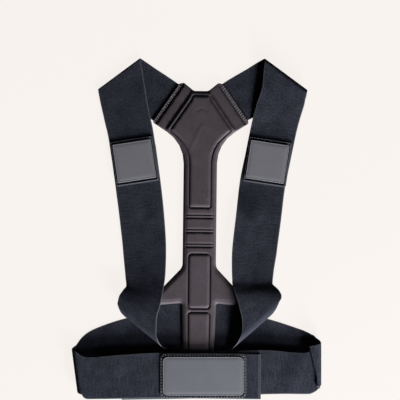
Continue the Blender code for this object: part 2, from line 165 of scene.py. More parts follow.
class Shader:
    def __init__(self, name, roughness, specular, sheen=0.0):
        self.material = bpy.data.materials.new(name)
        self.material.use_nodes = True
        self.tree = self.material.node_tree
        self.surface = self.tree.nodes["Principled BSDF"]
        self.surface.inputs["Roughness"].default_value = roughness
        self.surface.inputs["Specular IOR Level"].default_value = specular
        self.surface.inputs["Sheen Weight"].default_value = sheen

    def node(self, kind, settings=None, values=None, output=0):
        made = self.tree.nodes.new(kind)
        for key, value in (settings or {}).items():
            setattr(made, key, value)
        for key, value in (values or {}).items():
            self.feed(made.inputs[key], value)
        return Socket(self, made.outputs[output])

    def feed(self, socket, value):
        if isinstance(value, Socket):
            self.tree.links.new(value.link, socket)
        else:
            socket.default_value = value

    def split(self, vector):
        made = self.node("ShaderNodeSeparateXYZ", values={0: vector})
        return [Socket(self, made.link.node.outputs[k]) for k in range(3)]

    def noise(self, place, scale, detail=2.0, rough=0.5):
        values = {"Vector": place, "Scale": scale, "Detail": detail, "Roughness": rough}
        return self.node("ShaderNodeTexNoise", values=values)

    def stretched(self, place, factors):
        return self.node("ShaderNodeVectorMath", {"operation": "MULTIPLY"}, {0: place, 1: factors})

    def mix(self, share, first, second):
        values = {0: share, 6: first, 7: second}
        return self.node("ShaderNodeMix", {"data_type": "RGBA"}, values, output=2)

    def finish(self, colour, height, depth, strength=1.0, rough=None):
        self.feed(self.surface.inputs["Base Color"], colour)
        values = {"Height": height, "Distance": depth, "Strength": strength}
        self.feed(self.surface.inputs["Normal"], self.node("ShaderNodeBump", values=values))
        if rough is not None:
            self.feed(self.surface.inputs["Roughness"], rough)
        print("material:", self.material.name)
        return self.material


# %% [markdown]
# The elastic is woven: rubber warps run along it, and a fine weft crosses it, which shows as tiny
# ribs from edge to edge. A UV map in metres follows the cloth round its folds, so the ribs turn
# with it. The shade changes a little from rib to rib, in long streaks, as dyed yarn does, and a
# paler band marks each edge.

# %% The woven elastic
def scaled(colour, share):
    return tuple(c * share for c in colour[:3]) + (1,)


ELASTIC_DARK = (0.0070, 0.0082, 0.0132, 1)
ELASTIC_PALE = (0.0290, 0.0315, 0.0470, 1)
EDGE_YARN = (0.045, 0.046, 0.054, 1)
RIB = 0.0011
WARP = 0.0009
EDGE_BAND = 0.0016
EDGE_FADE = 0.0006


def elastic_material():
    shader = Shader("woven elastic", 0.85, 0.12)
    cloth = shader.node("ShaderNodeUVMap", {"uv_map": "Cloth"})
    across, along, _ = shader.split(cloth)
    weft = (along * (2 * pi / RIB)).sine()
    warp = (across * (2 * pi / WARP)).sine()
    streaks = shader.noise(shader.stretched(cloth, (60.0, 700.0, 1.0)), 1.0, 3.0)
    clouds = shader.noise(shader.stretched(cloth, (60.0, 45.0, 1.0)), 1.0, 2.0)
    flecks = shader.noise(shader.stretched(cloth, (420.0, 520.0, 1.0)), 1.0, 2.0, 0.7)
    fuzz = shader.noise(cloth, 2600.0, 2.0)
    blend = streaks * 1.0 + clouds * 0.6 + flecks * 1.5 + fuzz * 0.4 - 1.75
    share = (blend * 1.5 + 0.45 + weft * 0.05).clamped()
    cloth_colour = shader.mix(share, ELASTIC_DARK, ELASTIC_PALE)
    inward = across.least(STRAP_WIDTH - across)
    edge = ((EDGE_BAND - inward) / EDGE_FADE).clamped()
    colour = shader.mix(edge * 0.8, cloth_colour, EDGE_YARN)
    height = weft * 0.5 + warp * 0.25 + fuzz * 0.9
    return shader.finish(colour, height, 0.00012, 0.7, rough=0.78 + streaks * 0.14)


elastic = elastic_material()

# %% [markdown]
# The back plate is foam between two layers of thin smooth cloth, pressed hot in a mould. Along the
# grooves and the edge the cloth is darker and a little glossier, partly where the mould pressed
# hardest and partly as painted shade for the shadow in the grooves. The mesh carries that darkening
# as a point attribute, which the material reads.

# %% The pressed pad cloth, with painted shade in its grooves
PAD_COLOUR = (0.0430, 0.0338, 0.0415, 1)
PAD_PALE = (0.0660, 0.0532, 0.0630, 1)
# The colour of pressed cloth, also used as painted shade in the grooves and along the rim groove.
PAD_PRESSED_AND_SHADED = (0.0160, 0.0115, 0.0165, 1)


def pad_material():
    shader = Shader("pressed pad cloth", 0.62, 0.28, sheen=0.05)
    place = shader.node("ShaderNodeTexCoord", output=3)
    press = shader.node("ShaderNodeAttribute", {"attribute_name": "Press"}, output=2)
    grain = shader.noise(place, 1900.0, 3.0, 0.6)
    clouds = shader.noise(place, 55.0, 3.0, 0.6)
    share = ((clouds - 0.35) * 1.6 + (grain - 0.5) * 0.7).clamped()
    colour = shader.mix(share, PAD_COLOUR, PAD_PALE)
    # Darker where the cloth was pressed, and where shade is painted into the grooves.
    colour = shader.mix(press, colour, PAD_PRESSED_AND_SHADED)
    return shader.finish(colour, grain, 0.00010, 0.6, rough=0.70 - press * 0.15 - grain * 0.1)


pad_cloth = pad_material()

# %% [markdown]
# The tabs are bound in black twill, the patches are smooth matte grey, and the thread is twisted.
# All three use the object's own coordinates, because their patterns are finer than their folds.

# %% Twill, patch and thread
SLANT = 0.0012
CROSS = 0.0009
TWIST = 0.0005
TWIST_SHADE = 0.6
TWILL = (0.0085, 0.0095, 0.0140, 1), (0.0240, 0.0265, 0.0360, 1)
PATCH_GREYS = (0.090, 0.092, 0.106, 1), (0.118, 0.122, 0.143, 1)
LABEL_GREYS = (0.108, 0.108, 0.120, 1), (0.141, 0.142, 0.162, 1)
GREY_THREAD = (0.270, 0.270, 0.290, 1)
DARK_THREAD = (0.030, 0.031, 0.036, 1)
PALE_YARN = (0.076, 0.079, 0.098, 1)


def twill_material(name, dark, pale):
    shader = Shader(name, 0.80, 0.20, sheen=0.03)
    place = shader.node("ShaderNodeTexCoord", output=3)
    x, y, _ = shader.split(place)
    slant = ((x + y * 0.8) * (2 * pi / SLANT)).sine()
    cross = ((x - y * 1.1) * (2 * pi / CROSS)).sine()
    grain = shader.noise(place, 2200.0, 2.0)
    colour = shader.mix((slant * 0.2 + grain).clamped(), dark, pale)
    return shader.finish(colour, slant * 0.5 + cross * 0.2 + grain, 0.00012, 0.6)


def patch_material(name, dark, pale):
    shader = Shader(name, 0.55, 0.30)
    place = shader.node("ShaderNodeTexCoord", output=3)
    grain = shader.noise(place, 2400.0, 3.0, 0.65)
    clouds = shader.noise(place, 40.0, 2.0)
    share = (grain * 0.6 + clouds * 0.6 - 0.1).clamped()
    colour = shader.mix(share, dark, pale)
    return shader.finish(colour, grain, 0.00006, 0.5, rough=0.50 + grain * 0.15)


def thread_material(name, colour):
    shader = Shader(name, 0.6, 0.3)
    place = shader.node("ShaderNodeTexCoord", output=3)
    x, y, _ = shader.split(place)
    twist = ((x + y) * (2 * pi / TWIST)).sine()
    shade = shader.mix((twist * 0.5 + 0.5), scaled(colour, TWIST_SHADE), colour)
    return shader.finish(shade, twist, 0.00005, 0.5)


twill = twill_material("black twill", *TWILL)
patch_face = patch_material("grey patch", *PATCH_GREYS)
label_face = patch_material("grey label", *LABEL_GREYS)
grey_thread = thread_material("grey thread", GREY_THREAD)
dark_thread = thread_material("dark thread", DARK_THREAD)
edge_yarn = thread_material("edge yarn", PALE_YARN)

# %% [markdown]
# Each length of elastic is a row of straight sections: where its middle is, which way it is turned,
# how wide it spans and how high each edge lies. As in the solids' tables, lengths are shares of the
# named sizes, so the fine cloth follows the same folds. Beside the right bulge, at the pleat and at
# the belt's corners there are more rows here, which move the edges by a few millimetres at most.

# %% How the straps lie
Section = namedtuple("Section", "out y turn span z_outer z_inner")
Side = namedtuple(
    "Side",
    "sign run run_turn waist_out shoulder_radius waist_radius waist_turn waist_slides"
    " upper_rows lower_rows",
)
Row = namedtuple("Row", "down bow turn span outer inner")

LEFT_UPPER = [
    Row(0.062, -0.024, 24.7, 1.064, 1, 1),
    Row(0.160, -0.078, 12.5, 1.005, 1, 1),
    Row(0.236, -0.133, 9.0, 1.000, 1, 1),
    Row(0.405, -0.180, 8.0, 0.990, 1, 1),
]
RIGHT_UPPER = [
    Row(0.077, 0.007, 19.4, 1.000, 0.55, 0.90),
    Row(0.146, -0.058, 15.3, 1.010, 0.22, 0.48),
    Row(0.195, -0.095, 11.0, 1.010, 0.03, 0.10),
    Row(0.228, -0.112, 9.0, 1.010, 0, 0),
    Row(0.405, -0.182, 8.5, 1.000, 0, 0),
]
LEFT_LOWER = [
    Row(0.288, -0.156, 8.5, 1.000, 0, 0),
    Row(0.440, -0.191, 8.0, 1.000, 0, 0),
    Row(0.561, -0.207, 6.0, 0.985, 0.03, 0.06),
    Row(0.686, -0.198, 2.0, 0.950, 0.10, 0.22),
    Row(0.794, -0.158, 0.0, 0.870, 0.26, 0.50),
    Row(0.835, -0.122, -8.5, 0.820, 0.40, 0.70),
    Row(0.872, -0.033, -23.0, 0.885, 0.64, 0.90),
    Row(0.908, 0.064, -30.5, 0.960, 0.88, 1),
]
RIGHT_LOWER = [
    Row(0.294, -0.138, 9.0, 1.000, 0, 0),
    Row(0.428, -0.191, 8.9, 1.005, 0, 0),
    Row(0.559, -0.182, 7.0, 1.000, 0.10, 0.40),
    Row(0.684, -0.175, 5.0, 0.985, 0.28, 0.54),
    Row(0.766, -0.153, 2.0, 0.920, 0.42, 0.62),
    Row(0.812, -0.127, 1.9, 0.887, 0.5, 0.67),
    Row(0.824, -0.077, 2.0, 0.949, 0.62, 0.75),
    Row(0.839, -0.017, 0.5, 0.993, 0.78, 0.86),
    Row(0.854, 0.033, -1.4, 0.996, 0.88, 0.94),
    Row(0.875, 0.084, -8.2, 0.961, 0.95, 0.99),
    Row(0.896, 0.119, -18.0, 0.942, 0.98, 1),
    Row(0.911, 0.144, -26.6, 0.952, 1, 1),
]
LEFT = Side(
    sign=-1, run=0.969, run_turn=31.2, waist_out=0.0760, shoulder_radius=CLOSE_FOLD,
    waist_radius=0.0067, waist_turn=-39.5, waist_slides=(0.27, 0.20),
    upper_rows=LEFT_UPPER, lower_rows=LEFT_LOWER,
)
RIGHT = Side(
    sign=1, run=1.032, run_turn=28.4, waist_out=0.0683, shoulder_radius=0.0042,
    waist_radius=0.0075, waist_turn=-41.0, waist_slides=(0.38, 0.275),
    upper_rows=RIGHT_UPPER, lower_rows=RIGHT_LOWER,
)
print("strap rows:", len(LEFT_UPPER + LEFT_LOWER), len(RIGHT_UPPER + RIGHT_LOWER))

# %% How the belt lies
BeltRow = namedtuple("BeltRow", "out drop lean span")

LEFT_BACK = [
    BeltRow(0.528, 0.271, 18.7, 1.00),
    BeltRow(0.798, 0.504, 17.0, 1.00),
    BeltRow(0.906, 0.660, 11.0, 0.98),
]
LEFT_END = BeltRow(1.000, 0.898, 7.5, 0.95)
LEFT_END_SLIDES = (-0.07, -0.07)
LEFT_FRONT = [
    BeltRow(0.935, 1.020, 4.0, 0.925),
    BeltRow(0.894, 1.047, 0, 0.92),
    BeltRow(0.626, 1.016, 0, 0.97),
    BeltRow(0.322, 0.992, 0, 1.00),
    BeltRow(-0.480, 1.018, 0, 0.99),
]
RIGHT_BACK = [
    BeltRow(0.486, 0.280, 17.7, 1.00),
    BeltRow(0.790, 0.518, 17.0, 1.00),
    BeltRow(0.895, 0.620, 12.0, 0.98),
]
RIGHT_END = BeltRow(1.000, 0.765, 0, 0.93)
RIGHT_END_SLIDES = (-0.107, -0.04)
RIGHT_PLEAT = [
    BeltRow(0.943, 0.805, -13.0, 0.91),
    BeltRow(0.964, 0.848, -9.5, 0.87),
]
RIGHT_FRONT = [
    BeltRow(0.925, 0.915, -7.0, 0.91),
    BeltRow(0.880, 0.955, -6.0, 0.91),
    BeltRow(0.755, 0.945, 0, 0.92),
    BeltRow(0.580, 0.927, 0, 0.97),
    BeltRow(0.002, 0.996, 0, 1.00),
    BeltRow(-0.651, 1.027, 0, 1.00),
]
print("belt rows:", len(LEFT_BACK + LEFT_FRONT), len(RIGHT_BACK + RIGHT_PLEAT + RIGHT_FRONT))

# %% [markdown]
# Between two rows the cloth follows a smooth curve that never overshoots, so a flat stretch stays
# flat. A fold is a half turn of sections about a line, with the band sliding along that line where
# it changes direction.

# %% Smooth sections and folds
SECTION_STEP = 0.0026
FOLD_STEPS = 24


def slopes(values, places):
    steps = [(b - a) / (t - s) for a, b, s, t in zip(values, values[1:], places, places[1:])]
    inner = [2 * a * b / (a + b) if a * b > 0 else 0 for a, b in zip(steps, steps[1:])]
    return [steps[0], *inner, steps[-1]]


def smoothed(sections):
    places = [0]
    for a, b in zip(sections, sections[1:]):
        places.append(places[-1] + hypot(b.out - a.out, b.y - a.y, b.z_inner - a.z_inner))
    columns = [slopes(column, places) for column in zip(*sections)]
    found = []
    for i, (a, b) in enumerate(zip(sections, sections[1:])):
        length = places[i + 1] - places[i]
        count = max(1, ceil(length / SECTION_STEP))
        for k in range(count):
            t = k / count
            rise, ease = t * t * (3 - 2 * t), t * (1 - t)
            values = [
                p + (q - p) * rise + length * ease * ((1 - t) * m[i] - t * m[i + 1])
                for p, q, m in zip(a, b, columns)
            ]
            found.append(Section(*values))
    return [*found, sections[-1]]


def fold(crest, outward, slides, start, end):
    turn = radians(crest.turn)
    across = (outward * sin(turn), outward * cos(turn))
    along = (-cos(turn), sin(turn))
    radius = abs(end - start) / 2
    found = []
    for k in range(FOLD_STEPS + 1):
        share = 2 * k / FOLD_STEPS - 1
        moved = slides[share > 0] * share * STRAP_WIDTH
        back = radius * (cos(share * pi / 2) - 1)
        z = (start + end) / 2 + (end - start) / 2 * sin(share * pi / 2)
        out = crest.out + across[0] * back + along[0] * moved
        y = crest.y + across[1] * back + along[1] * moved
        found.append(crest._replace(out=out, y=y, z_outer=z, z_inner=z))
    return found


def wing_edge():
    middle = Vector((WING_REACH, WING_RISE))
    outward = Vector((cos(WING_TURN), sin(WING_TURN)))
    return middle, outward, Vector((-outward.y, outward.x))


def shoulder(side):
    turn = radians(side.run_turn)
    return wing_edge()[0] + side.run * SHOULDER_RUN * Vector((cos(turn), sin(turn)))


def waist(side):
    return Vector((side.waist_out, shoulder(side).y - STRAP_DROP))


def path_rows(side, rows, base, rise):
    top, bottom = shoulder(side), waist(side)
    found = []
    for row in rows:
        place = top.lerp(bottom, row.down)
        heights = base + row.outer * rise, base + row.inner * rise
        out = place.x + row.bow * STRAP_WIDTH
        found.append(Section(out, place.y, row.turn, row.span * STRAP_WIDTH, *heights))
    return found


# %% [markdown]
# Four lengths make the harness: the upper straps come from under the wings and fold over at the
# shoulders, the lower straps start under the labels and fold behind at the waist, and each belt
# half runs out from under the plate, turns at the side and comes back as a front half. The right
# half has a small pleat near its turn.

# %% Sections of each length
START_SPAN, SEAT_SPAN, BACK_SPAN, CREST_SPAN = 0.96, 0.98, 1.05, 1.155
BACK_SHARE = 0.55
BACK_TURN = 11
SHOULDER_TURN = 36.5
SHOULDER_SLIDE = -0.65
WAIST_SPAN = 1.10
WAIST_RISE = 0.15
Hidden = namedtuple("Hidden", "out drop turn span")
UNDER_PLATE = [Hidden(0.60, 0.03, -62, 1.12), Hidden(0.32, 0.01, -83, 1.06)]
BELT_START_SPAN = 1.04


def upper_sections(side):
    edge, outward, _ = wing_edge()
    top = shoulder(side)
    across = 90 - atan2(top.y - edge.y, top.x - edge.x) * 180 / pi
    lowered = 2 * side.shoulder_radius
    first = edge - outward * STRAP_TUCK
    start = Section(
        first.x, first.y, across, START_SPAN * STRAP_WIDTH, FLOOR_LAYER, FLOOR_LAYER
    )
    seat = start._replace(out=edge.x, y=edge.y, span=SEAT_SPAN * STRAP_WIDTH)
    middle = edge.lerp(top, BACK_SHARE)
    back = start._replace(
        out=middle.x, y=middle.y, turn=across - BACK_TURN, span=BACK_SPAN * STRAP_WIDTH
    )
    crest = start._replace(out=top.x, y=top.y, turn=SHOULDER_TURN, span=CREST_SPAN * STRAP_WIDTH)
    slides = 2 * [SHOULDER_SLIDE * side.shoulder_radius / STRAP_WIDTH]
    turned = fold(crest, 1, slides, FLOOR_LAYER, FLOOR_LAYER + lowered)
    raised = side.shoulder_radius > CLOSE_FOLD
    base, rise = (SECOND_LAYER, lowered - LAYER) if raised else (FLOOR_LAYER, LAYER)
    rows = path_rows(side, side.upper_rows, base, rise)
    return smoothed([start, seat, back, turned[0]]) + turned[1:-1] + smoothed([turned[-1], *rows])


def lower_sections(side):
    bottom = waist(side)
    rise = 2 * side.waist_radius + LAYER
    rows = path_rows(side, side.lower_rows, FLOOR_LAYER, rise)
    crest = Section(bottom.x, bottom.y, side.waist_turn, WAIST_SPAN * STRAP_WIDTH, 0, 0)
    turned = fold(crest, -1, side.waist_slides, FLOOR_LAYER + rise, SECOND_LAYER)
    y = WAIST_FOLD_Y + WAIST_RISE * STRAP_WIDTH
    span = UNDER_PLATE[-1].span * STRAP_WIDTH
    end = Section(GAP, y, -90, span, SECOND_LAYER, SECOND_LAYER)
    hidden = [
        end._replace(
            out=row.out * STRAP_WIDTH,
            y=y - row.drop * STRAP_WIDTH,
            turn=row.turn,
            span=row.span * STRAP_WIDTH,
        )
        for row in UNDER_PLATE
    ]
    return smoothed([*rows, turned[0]]) + turned[1:-1] + smoothed([turned[-1], *hidden, end])


def belt_rows(reach, rows, level):
    found = []
    for row in rows:
        place = row.out * reach, -row.drop * BELT_DROP
        found.append(Section(*place, 90 + row.lean, row.span * STRAP_WIDTH, level, level))
    return found


def belt_sections(reach, back, end, slides, front, level, pleat=()):
    height = level + len(pleat) * PLEAT_LAYER
    crest = belt_rows(reach, [end], FLOOR_LAYER)[0]
    turned = fold(crest, 1, slides, FLOOR_LAYER, height)
    start = crest._replace(out=GAP, y=BELT_START, turn=90, span=BELT_START_SPAN * STRAP_WIDTH)
    found = smoothed([start, *belt_rows(reach, back, FLOOR_LAYER), turned[0]]) + turned[1:-1]
    last = turned[-1]
    for k, crest in enumerate(belt_rows(reach, pleat, height)):
        turned = fold(crest, (-1, 1)[k % 2], (0, 0), height, height - PLEAT_LAYER)
        found += smoothed([last, turned[0]]) + turned[1:-1]
        last = turned[-1]
        height -= PLEAT_LAYER
    return found + smoothed([last, *belt_rows(reach, front, level)])


left_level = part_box("left_belt")[1][2] - STRAP_THICKNESS / 2
right_level = left_level - LAYER
print("front halves lie at", round(left_level * 1000, 2), round(right_level * 1000, 2), "mm")

# %% [markdown]
# From the sections comes the cloth: a closed shell a little thinner than the solid, with its
# columns closer together at the edges so that they round off. Slow ripples and a few pressed-in
# creases keep it from looking like sheet metal. The UV map is in metres across and along.

# %% The cloth of a length of elastic
CLOTH = 0.0012
EDGE_PLACES = [0, 0.0003, 0.0008, 0.0014, 0.0022, 0.0036]
EDGE_ROUND = 0.0008
EDGE_SHARE = 0.25
FIRST_COLUMN = 0.0056
COLUMN_STEP = 0.0024
Crease = namedtuple("Crease", "x y turn length width depth over")
Ripple = namedtuple("Ripple", "across along shift share")
RIPPLES = [Ripple(38, 26, 0, 1.0), Ripple(90, 60, 7, 0.5)]
FLOOR_SINK = 0.0001


def columns_across():
    inner = np.arange(FIRST_COLUMN, STRAP_WIDTH / 2, COLUMN_STEP)
    half = np.concatenate([EDGE_PLACES, inner])
    return np.concatenate([half, [STRAP_WIDTH / 2], STRAP_WIDTH - half[::-1]])


def middle_surface(sign, sections):
    table = np.array(sections)
    turn, half = np.radians(table[:, 2]), table[:, 3] / 2
    middle = np.stack([sign * table[:, 0], table[:, 1], (table[:, 4] + table[:, 5]) / 2], 1)
    middle[:, :2] += SHIFT
    across = np.stack([-sign * np.cos(turn) * half, np.sin(turn) * half], 1)
    across = np.column_stack([across, (table[:, 5] - table[:, 4]) / 2])
    share = 2 * columns_across() / STRAP_WIDTH - 1
    points = middle[:, None] + across[:, None] * share[None, :, None]
    along = np.concatenate([[0], np.cumsum(np.linalg.norm(np.diff(middle, axis=0), axis=1))])
    return points, along


def facing(points):
    normal = np.cross(np.gradient(points, axis=0), np.gradient(points, axis=1))
    return normal / np.maximum(np.linalg.norm(normal, axis=2, keepdims=True), TINY)


def rippled(points, along, amount, creases, seed):
    """Moves the middle surface up and down a little, where nothing lies close above or below."""
    across = columns_across()
    moved = points.copy()
    for i, v in enumerate(along):
        for j, u in enumerate(across):
            places = [Vector((u * r.across, v * r.along, seed + r.shift)) for r in RIPPLES]
            wave = sum(r.share * noise.noise(place) for r, place in zip(RIPPLES, places))
            moved[i, j, 2] += amount[i] * wave
    for crease in creases:
        away = points[:, :, :2] - (crease.x, crease.y)
        turn = radians(crease.turn)
        ahead = away @ (cos(turn), sin(turn))
        aside = away @ (-sin(turn), cos(turn))
        dip = np.exp(-((ahead / crease.length) ** 2) - (aside / crease.width) ** 2)
        moved[:, :, 2] -= crease.depth * dip * (points[:, :, 2] > crease.over)
    moved[:, :, 2] = np.maximum(moved[:, :, 2], FLOOR_LAYER - FLOOR_SINK)
    return moved


def shell(name, points, along):
    """A closed wall about the middle surface, with rounded edges and a UV map called Cloth."""
    across = columns_across()
    inward = np.minimum(across, STRAP_WIDTH - across)
    round_off = np.sqrt(1 - (1 - np.minimum(inward / EDGE_ROUND, 1)) ** 2)
    half = CLOTH / 2 * (EDGE_SHARE + (1 - EDGE_SHARE) * round_off)
    lift = facing(points) * half[None, :, None]
    rows, columns = points.shape[:2]
    ring = np.concatenate([points + lift, (points - lift)[:, ::-1]], axis=1)
    width = ring.shape[1]
    u = np.concatenate([across, across[::-1]])
    faces = []
    for here in range(0, (rows - 1) * width, width):
        ahead = here + width
        for k in range(width):
            n = (k + 1) % width
            faces.append((here + k, here + n, ahead + n, ahead + k))
    for base in (0, (rows - 1) * width):
        faces += [
            (base + k, base + k + 1, base + width - 2 - k, base + width - 1 - k)
            for k in range(columns - 1)
        ]
    mesh = bpy.data.meshes.new(name)
    mesh.from_pydata(ring.reshape(-1, 3).tolist(), [], faces)
    uv = mesh.uv_layers.new(name="Cloth")
    corner = np.array([loop.vertex_index for loop in mesh.loops])
    uv.data.foreach_set("uv", np.stack([u[corner % width], along[corner // width]], 1).ravel())
    return mesh


def facing_out(mesh):
    shape = bmesh.new()
    shape.from_mesh(mesh)
    bmesh.ops.recalc_face_normals(shape, faces=shape.faces)
    shape.to_mesh(mesh)
    shape.free()
    mesh.shade_smooth()


def piece(name, mesh, material, node=None):
    """An object of its own that rides on the frame, in place of a node where one is named."""
    made = bpy.data.objects.new(name, mesh)
    bpy.context.scene.collection.objects.link(made)
    mesh.materials.clear()
    mesh.materials.append(material)
    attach(made, "root")
    if node:
        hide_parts(node)
    return made


# %% [markdown]
# The edge of woven elastic is a thicker cord of pale yarn, which shows as a fine light line. It
# follows a path, so Geometry Nodes sweep a small round profile along each edge. The tree takes the
# edge lines as a mesh of loose edges and a named radius.

# %% A swept edge cord
class Tree:
    """A Geometry Nodes tree with named inputs, used as a modifier and then made a plain mesh."""

    def __init__(self, name, inputs):
        self.group = bpy.data.node_groups.new(name, "GeometryNodeTree")
        face = self.group.interface
        face.new_socket("Geometry", in_out="INPUT", socket_type="NodeSocketGeometry")
        self.sockets = {}
        for key, value in inputs.items():
            made = face.new_socket(key, in_out="INPUT", socket_type="NodeSocketFloat")
            made.default_value = value
            self.sockets[key] = made.identifier
        face.new_socket("Geometry", in_out="OUTPUT", socket_type="NodeSocketGeometry")
        self.given = self.group.nodes.new("NodeGroupInput")
        self.result = self.group.nodes.new("NodeGroupOutput")

    def node(self, kind, settings=None, values=None):
        made = self.group.nodes.new(kind)
        for key, value in (settings or {}).items():
            setattr(made, key, value)
        for key, value in (values or {}).items():
            if isinstance(value, bpy.types.NodeSocket):
                self.group.links.new(value, made.inputs[key])
            else:
                made.inputs[key].default_value = value
        return made

    def end(self, geometry_socket, material):
        real = self.node("GeometryNodeRealizeInstances", values={0: geometry_socket})
        painted = self.node(
            "GeometryNodeSetMaterial", values={"Geometry": real.outputs[0], "Material": material}
        )
        self.group.links.new(painted.outputs[0], self.result.inputs[0])
        return self

    def made(self, name, lines, values):
        """A plain mesh from lines, each a list of points, with the named inputs set."""
        mesh = bpy.data.meshes.new(name + " lines")
        points, edges = [], []
        for line in lines:
            start = len(points)
            points += [tuple(p) for p in line]
            edges += [(start + k, start + k + 1) for k in range(len(line) - 1)]
        mesh.from_pydata(points, edges, [])
        source = bpy.data.objects.new(name + " lines", mesh)
        bpy.context.scene.collection.objects.link(source)
        modifier = source.modifiers.new(name, "NODES")
        modifier.node_group = self.group
        for key, value in values.items():
            modifier[self.sockets[key]] = value
        graph = bpy.context.evaluated_depsgraph_get()
        result = bpy.data.meshes.new_from_object(source.evaluated_get(graph))
        bpy.data.objects.remove(source)
        result.name = name
        result.shade_smooth()
        print(name, "has", len(result.polygons), "faces")
        return result


def cord_tree(material):
    tree = Tree("edge cord", {"Radius": 0.0006})
    curve = tree.node("GeometryNodeMeshToCurve", values={"Mesh": tree.given.outputs[0]})
    ring = tree.node("GeometryNodeCurvePrimitiveCircle", values={"Resolution": 8})
    tree.group.links.new(tree.given.outputs["Radius"], ring.inputs["Radius"])
    values = {"Curve": curve.outputs[0], "Profile Curve": ring.outputs[0], "Fill Caps": True}
    swept = tree.node("GeometryNodeCurveToMesh", values=values)
    return tree.end(swept.outputs[0], material)


cords = cord_tree(edge_yarn)

# %% [markdown]
# Now the six lengths. Where cloth lies free it ripples by a third of a millimetre or so, and where
# it is sandwiched between layers it hardly moves. A crease crosses the right strap above its bulge,
# and a fainter one the belt's left front half. The right front half has a soft hump instead, which
# is a wide crease of negative depth.

# %% The six lengths of elastic
FREE = 0.00045
TIGHT = 0.00008
RIPPLE_EASE = 0.05
CREASES = {
    "right_lower_strap": [
        Crease(x=0.0793, y=-0.0760, turn=8, length=0.022, width=0.0030, depth=0.0006, over=0.006)
    ],
    "right_belt": [
        Crease(x=0.1313, y=-0.1930, turn=78, length=0.022, width=0.0125, depth=-0.0018, over=0.008)
    ],
    "left_belt": [
        Crease(x=-0.0900, y=-0.1900, turn=85, length=0.024, width=0.0100, depth=0.0005, over=0.008)
    ],
}
EDGE_CORD = 0.00055


def ripple_amounts(along, free):
    """How much each row may move: the free stretches are given as shares of the length."""
    share = along / along[-1]
    amount = np.full(len(along), TIGHT)
    for start, end in free:
        rise = np.clip((share - start) / RIPPLE_EASE, 0, 1)
        rise *= np.clip((end - share) / RIPPLE_EASE, 0, 1)
        amount = np.maximum(amount, TIGHT + (FREE - TIGHT) * rise)
    return amount


def elastic_length(node, sign, sections, free, seed):
    points, along = middle_surface(sign, sections)
    points = rippled(points, along, ripple_amounts(along, free), CREASES.get(node, ()), seed)
    mesh = shell(node + "_elastic", points, along)
    facing_out(mesh)
    cloth = piece(node + "_elastic", mesh, elastic, node)
    edges = [points[:, 1], points[:, -2]]
    mesh = cords.made(node + " edges", edges, {"Radius": EDGE_CORD})
    cord = piece(node + "_edges", mesh, edge_yarn)
    return points


for word, side in (("left", LEFT), ("right", RIGHT)):
    elastic_length(
        word + "_upper_strap",
        side.sign,
        upper_sections(side),
        free=[(0.30, 0.72)],
        seed=3 + side.sign,
    )
    elastic_length(
        word + "_lower_strap",
        side.sign,
        lower_sections(side),
        free=[(0.24, 0.80)],
        seed=13 + side.sign,
    )
left_belt_points = elastic_length(
    "left_belt",
    LEFT.sign,
    belt_sections(LEFT_BELT_REACH, LEFT_BACK, LEFT_END, LEFT_END_SLIDES, LEFT_FRONT, left_level),
    free=[(0.20, 0.42), (0.46, 0.70)],
    seed=21,
)
elastic_length(
    "right_belt",
    RIGHT.sign,
    belt_sections(
        RIGHT_BELT_REACH, RIGHT_BACK, RIGHT_END, RIGHT_END_SLIDES, RIGHT_FRONT, right_level,
        RIGHT_PLEAT,
    ),
    free=[(0.20, 0.36), (0.52, 0.72)],
    seed=25,
)

# %% [markdown]
# The back plate is a relief: its outline is cut, and every point's height follows from how far it
# is from the edge, the panels and the grooves. So the mesh starts flat, as a fine triangulation of
# the outline with extra points along each line that the mould pressed, and is then raised.

# %% The plate's outline, panels and grooves
Corner = namedtuple("Corner", "out y radius")
OUTLINE_STEP = 0.0013
PANEL_STEP = 0.0015
NEARLY_STRAIGHT = radians(89)
TIP_SHARE, LOW_SHARE = 0.49, 0.55


def rounded(corners, steps=6):
    found = []
    points = [Vector((c.out, c.y)) for c in corners]
    for i, corner in enumerate(corners):
        here = points[i]
        before = (points[i - 1] - here).normalized()
        after = (points[(i + 1) % len(points)] - here).normalized()
        half = before.angle(after) / 2
        if corner.radius <= 0 or half > NEARLY_STRAIGHT:
            found.append(here)
            continue
        centre = here + (before + after).normalized() * corner.radius / sin(half)
        first = here + before * corner.radius / tan(half) - centre
        last = here + after * corner.radius / tan(half) - centre
        sweep = first.angle_signed(last)
        count = max(2, ceil(abs(sweep) / radians(90) * steps))
        start = atan2(first.y, first.x)
        for k in range(count + 1):
            angle = start - sweep * k / count
            found.append(centre + corner.radius * Vector((cos(angle), sin(angle))))
    return found


def mirrored(corners):
    return corners + [c._replace(out=-c.out) for c in reversed(corners)]


def wing_point(inward, along):
    middle, outward, edge = wing_edge()
    return middle - outward * inward + edge * along


def wing_tip():
    return wing_point(0, TIP_SHARE * STRAP_WIDTH)


def at(point, radius):
    return Corner(point.x, point.y, radius)


def plate_corners():
    tip = wing_tip()
    low = wing_point(0, -LOW_SHARE * STRAP_WIDTH)
    neck, foot = NECK_WIDTH / 2, NECK_FOOT_WIDTH / 2
    underarm = low.y - UNDERARM_SLOPE * (low.x - neck)
    return mirrored(
        [
            Corner(0.43 * neck, tip.y - WING_DIP, 2 * CORNER),
            Corner(tip.x - WING_CREST_BACK, tip.y + WING_CREST, CORNER),
            at(tip, 0.7 * CORNER),
            at(low, 1.2 * CORNER),
            Corner(neck, underarm, UNDERARM_ROUND),
            Corner(neck, HIP_TOP + FLARE_RISE, 4 * CORNER),
            Corner(HIP_SPAN / 2, HIP_TOP, 1.6 * CORNER),
            Corner(HIP_SPAN / 2, HIP_TOP - HIP_HEIGHT, 1.3 * CORNER),
            Corner(1.05 * neck, HIP_TOP - 0.8 * HIP_HEIGHT, 0.8 * CORNER),
            Corner(foot, -PLATE_BELOW, 2.3 * CORNER),
        ]
    )


